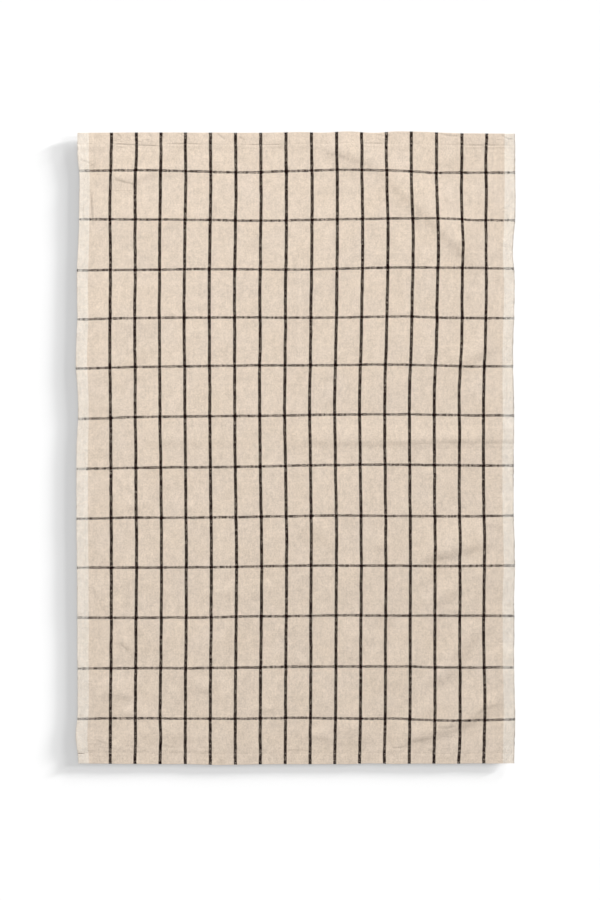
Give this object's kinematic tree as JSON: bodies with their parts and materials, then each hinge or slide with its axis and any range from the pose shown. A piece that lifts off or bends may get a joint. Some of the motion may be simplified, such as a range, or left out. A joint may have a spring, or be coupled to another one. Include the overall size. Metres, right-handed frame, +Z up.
{
  "type": "tea towel",
  "caption": "Flat woven cotton tea towel with a dark windowpane check on cream, paler selvedge borders and hemmed ends, lying open with soft rumples.",
  "frame": {"origin": "on the table, under the middle of the open towel", "axes": "+Z up from the table, +Y along the selvedges towards the top hem, +X towards the right selvedge"},
  "size_m": [0.4882, 0.7028, 0.004],
  "materials": {
    "cloth": "matt plain-woven cotton, cream with thin near-black checks"
  },
  "bodies": {
    "root": {"towel": "cloth"}
  },
  "joints": []
}
